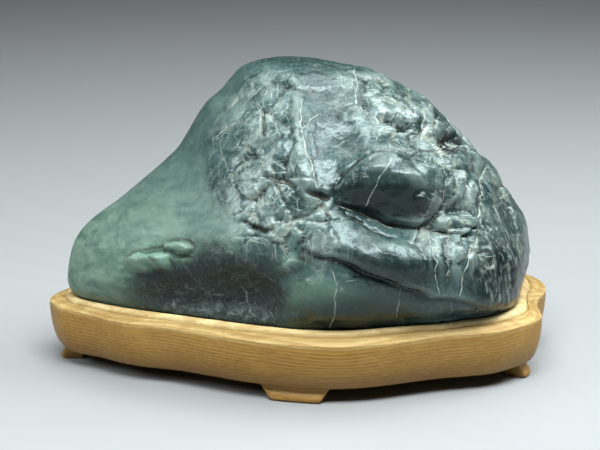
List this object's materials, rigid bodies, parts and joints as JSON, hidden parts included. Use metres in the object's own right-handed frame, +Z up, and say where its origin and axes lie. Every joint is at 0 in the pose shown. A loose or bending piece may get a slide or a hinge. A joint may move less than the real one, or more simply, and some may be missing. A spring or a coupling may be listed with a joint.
{
  "type": "scholars rock on a carved wooden stand",
  "caption": "Water-worn dark green display stone with a rugged peak and a long smooth flank, resting in the fitted recess of a low lobed wooden stand with short feet.",
  "frame": {"origin": "centre of the bounding box at the surface that the feet stand on", "axes": "+X along the stone and its stand, towards the high rugged end; +Y away from the broad face; +Z up"},
  "size_m": [0.3223, 0.1743, 0.193],
  "materials": {
    "stone": "dark green stone, waxed to a soft shine, with pale veins",
    "wood": "pale brown hardwood, oiled, fine straight grain"
  },
  "bodies": {
    "root": {"stone": "stone", "stand": "wood"}
  },
  "joints": []
}
